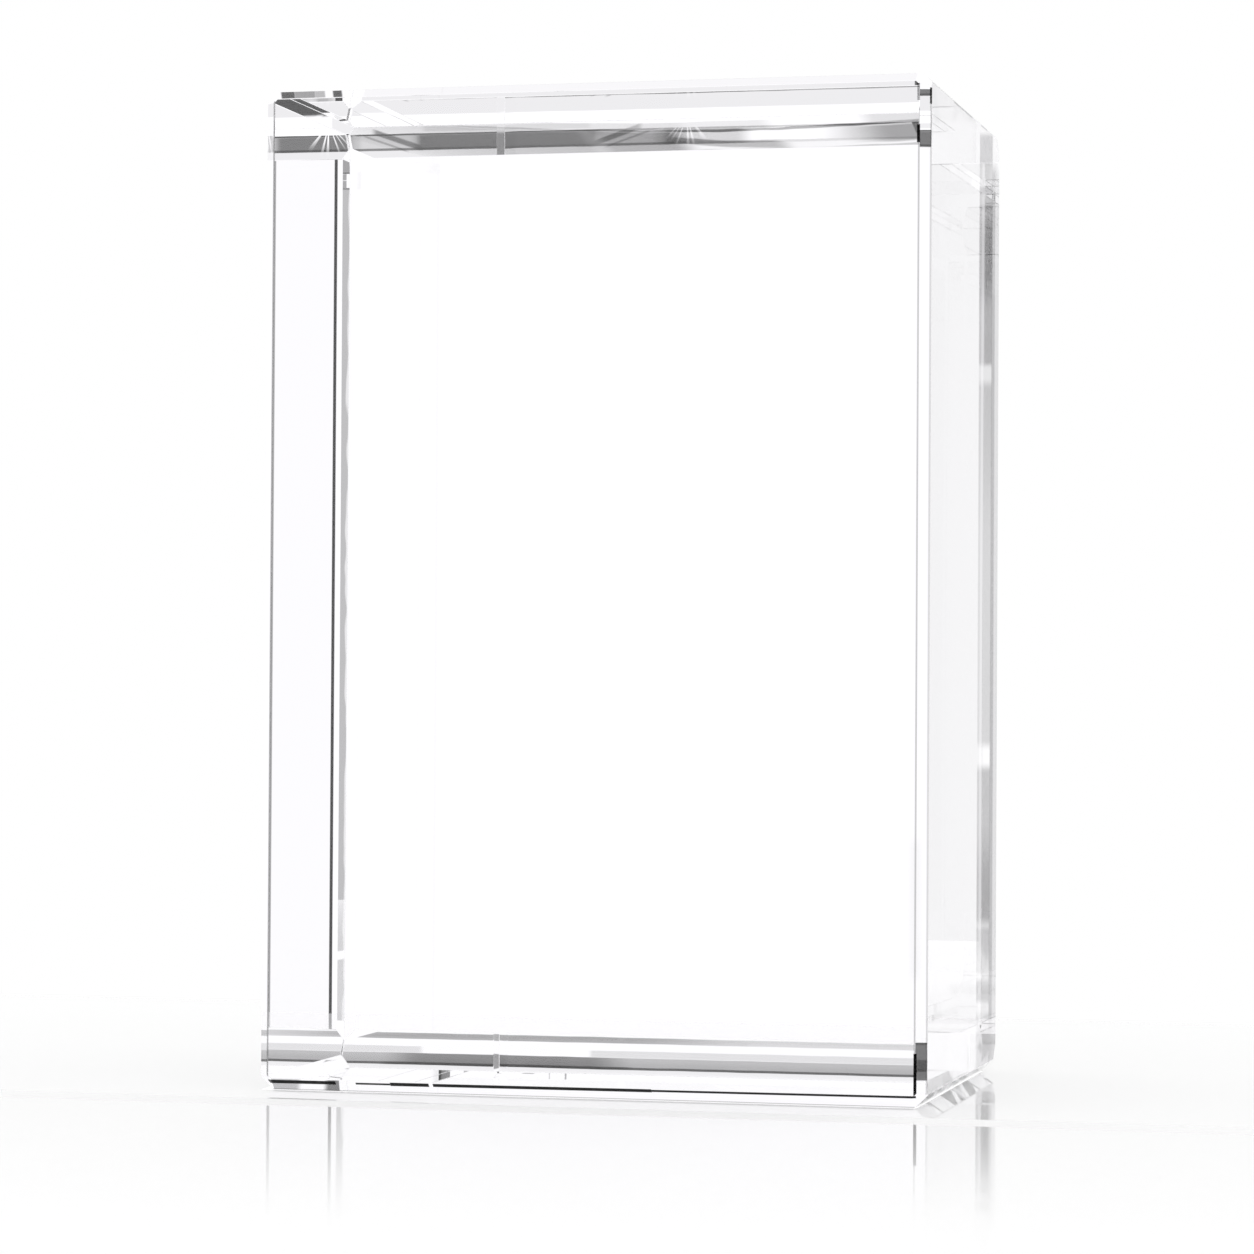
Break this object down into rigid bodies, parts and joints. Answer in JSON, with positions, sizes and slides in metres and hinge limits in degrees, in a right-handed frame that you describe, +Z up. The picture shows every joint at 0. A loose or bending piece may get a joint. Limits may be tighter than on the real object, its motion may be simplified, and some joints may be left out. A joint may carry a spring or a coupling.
{
  "type": "optical crystal block",
  "caption": "Upright rectangular block of clear optical glass with polished faces, ground chamfers and corner facets, standing on its flat base as a photo display.",
  "frame": {"origin": "centre of the flat base face that the block stands on", "axes": "+Z up along the block's height, X across the broad front face, -Y out of the front face"},
  "size_m": [0.081, 0.055, 0.12],
  "materials": {
    "optical_crystal": "polished clear"
  },
  "bodies": {
    "root": {"crystal_block": "optical_crystal"}
  },
  "joints": []
}
